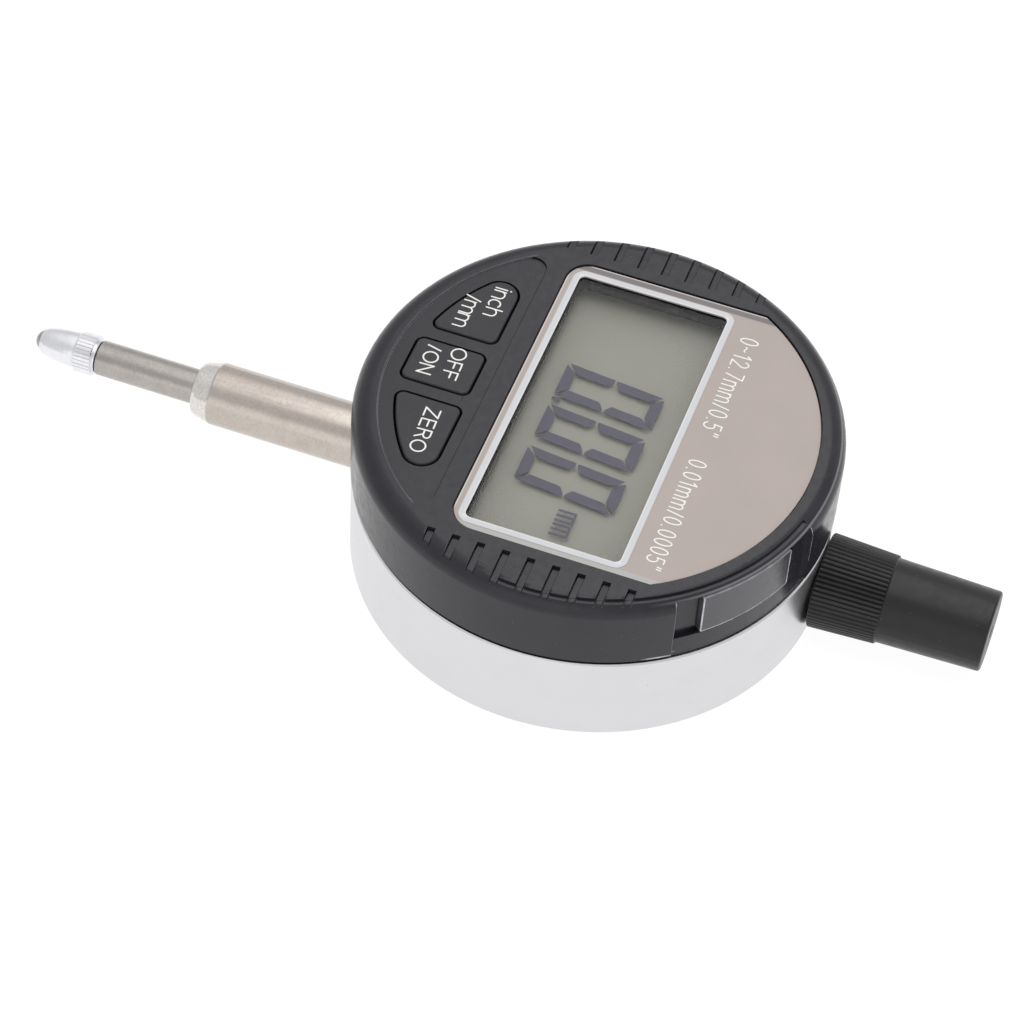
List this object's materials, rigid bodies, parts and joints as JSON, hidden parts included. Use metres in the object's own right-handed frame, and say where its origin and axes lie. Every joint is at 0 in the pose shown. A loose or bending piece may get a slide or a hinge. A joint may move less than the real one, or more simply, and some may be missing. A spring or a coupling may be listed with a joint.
{
  "type": "digital dial indicator",
  "caption": "Round digital dial indicator: aluminium back, black front with display and keys, clamp stem, sprung spindle, knurled dust cap.",
  "frame": {"origin": "middle of the flat back face", "axes": "+Z out of the display face; +Y along the spindle towards the dust cap, so the stem points along -Y; +X to the right of the display read with the stem down"},
  "size_m": [0.0592, 0.1256, 0.0245],
  "materials": {
    "satin_aluminium": "fine satin, turned",
    "black_moulding": "fine satin texture",
    "key_moulding": "fine satin texture",
    "beige_print": "smooth, semi-gloss",
    "pale_line": "smooth",
    "clear_pane": "polished",
    "lcd_pane": "polished",
    "lcd_ink": "flat",
    "lcd_back": "flat, faint grain",
    "white_moulding": "satin",
    "elastomer": "matt",
    "board": "solder mask",
    "chip_black": "smooth",
    "tin_can": "bright",
    "ceramic_tan": "matt",
    "gilt_copper": "plated",
    "steel_fastener": "bright zinc",
    "stem_steel": "ground",
    "spindle_steel": "ground",
    "bright_point": "bright plated",
    "ball_steel": "polished",
    "brass_bush": "turned",
    "felt": "felt",
    "black_rubber": "matt",
    "spring_wire": "bright",
    "cell_can": "bright nickel",
    "carrier_moulding": "satin",
    "cap_moulding": "satin gloss"
  },
  "bodies": {
    "housing": {"back_case": "satin_aluminium", "back_screws": "steel_fastener", "front_case": "black_moulding", "window_sheet": "beige_print", "window_frame": "pale_line", "window_glass": "clear_pane", "lcd_front_glass": "lcd_pane", "lcd_segments": "lcd_ink", "lcd_back_glass": "lcd_pane", "lcd_reflector": "lcd_back", "lcd_holder": "white_moulding", "zebra_strips": "elastomer", "pcb": "board", "pcb_screws": "steel_fastener", "asic_chip": "chip_black", "crystal": "tin_can", "chip_capacitors": "ceramic_tan", "stator_plate": "gilt_copper", "switch_domes": "steel_fastener", "keypad_rubber": "elastomer", "battery_holder": "carrier_moulding", "battery_contact_positive": "gilt_copper", "battery_contact_negative": "gilt_copper", "stem": "stem_steel", "stem_bushings": "brass_bush", "stem_wiper": "felt", "buffer_washer": "black_rubber", "guide_rod": "steel_fastener", "spring_anchor_pin": "brass_bush", "return_spring": "spring_wire", "cap_neck": "brass_bush"},
    "plunger": {"spindle": "spindle_steel", "contact_point": "bright_point", "contact_ball": "ball_steel", "stop_collar": "steel_fastener", "scale_carrier": "carrier_moulding", "scale_strip": "gilt_copper", "carrier_screw": "steel_fastener", "spring_hook_pin": "brass_bush"},
    "unit_key": {"button_unit": "key_moulding"},
    "power_key": {"button_power": "key_moulding"},
    "zero_key": {"button_zero": "key_moulding"},
    "battery_drawer": {"battery_tray": "black_moulding", "battery_cell": "cell_can"},
    "cap_seal": {"cap_seal_ring": "black_rubber"},
    "cap": {"dust_cap": "cap_moulding"}
  },
  "joints": [
    {"name": "plunger_slide", "type": "slide", "parent": "housing", "child": "plunger", "axis": [0, 1, 0], "range_m": [0, 0.0127], "stiffness_N_per_m": 40, "springref_m": -0.018, "deforming": ["return_spring"]},
    {"name": "unit_press", "type": "slide", "parent": "housing", "child": "unit_key", "axis": [0, 0, -1], "range_m": [0, 0.0004], "stiffness_N_per_m": 600, "springref_m": -0.0005},
    {"name": "power_press", "type": "slide", "parent": "housing", "child": "power_key", "axis": [0, 0, -1], "range_m": [0, 0.0004], "stiffness_N_per_m": 600, "springref_m": -0.0005},
    {"name": "zero_press", "type": "slide", "parent": "housing", "child": "zero_key", "axis": [0, 0, -1], "range_m": [0, 0.0004], "stiffness_N_per_m": 600, "springref_m": -0.0005},
    {"name": "tray_slide", "type": "slide", "parent": "housing", "child": "battery_drawer", "axis": [0.5577, 0.83, 0], "range_m": [0, 0.0135]},
    {"name": "cap_turn", "type": "hinge", "parent": "housing", "child": "cap_seal", "pos_m": [0, 0.03005, 0.0065], "axis": [0, 1, 0], "range_deg": [0, 1440]},
    {"name": "cap_advance", "type": "slide", "parent": "cap_seal", "child": "cap", "axis": [0, 1, 0], "range_m": [0, 0.003]}
  ],
  "couplings": [
    {"joint": "cap_turn", "follows": "cap_advance", "rad_per_m": 8377.6}
  ]
}
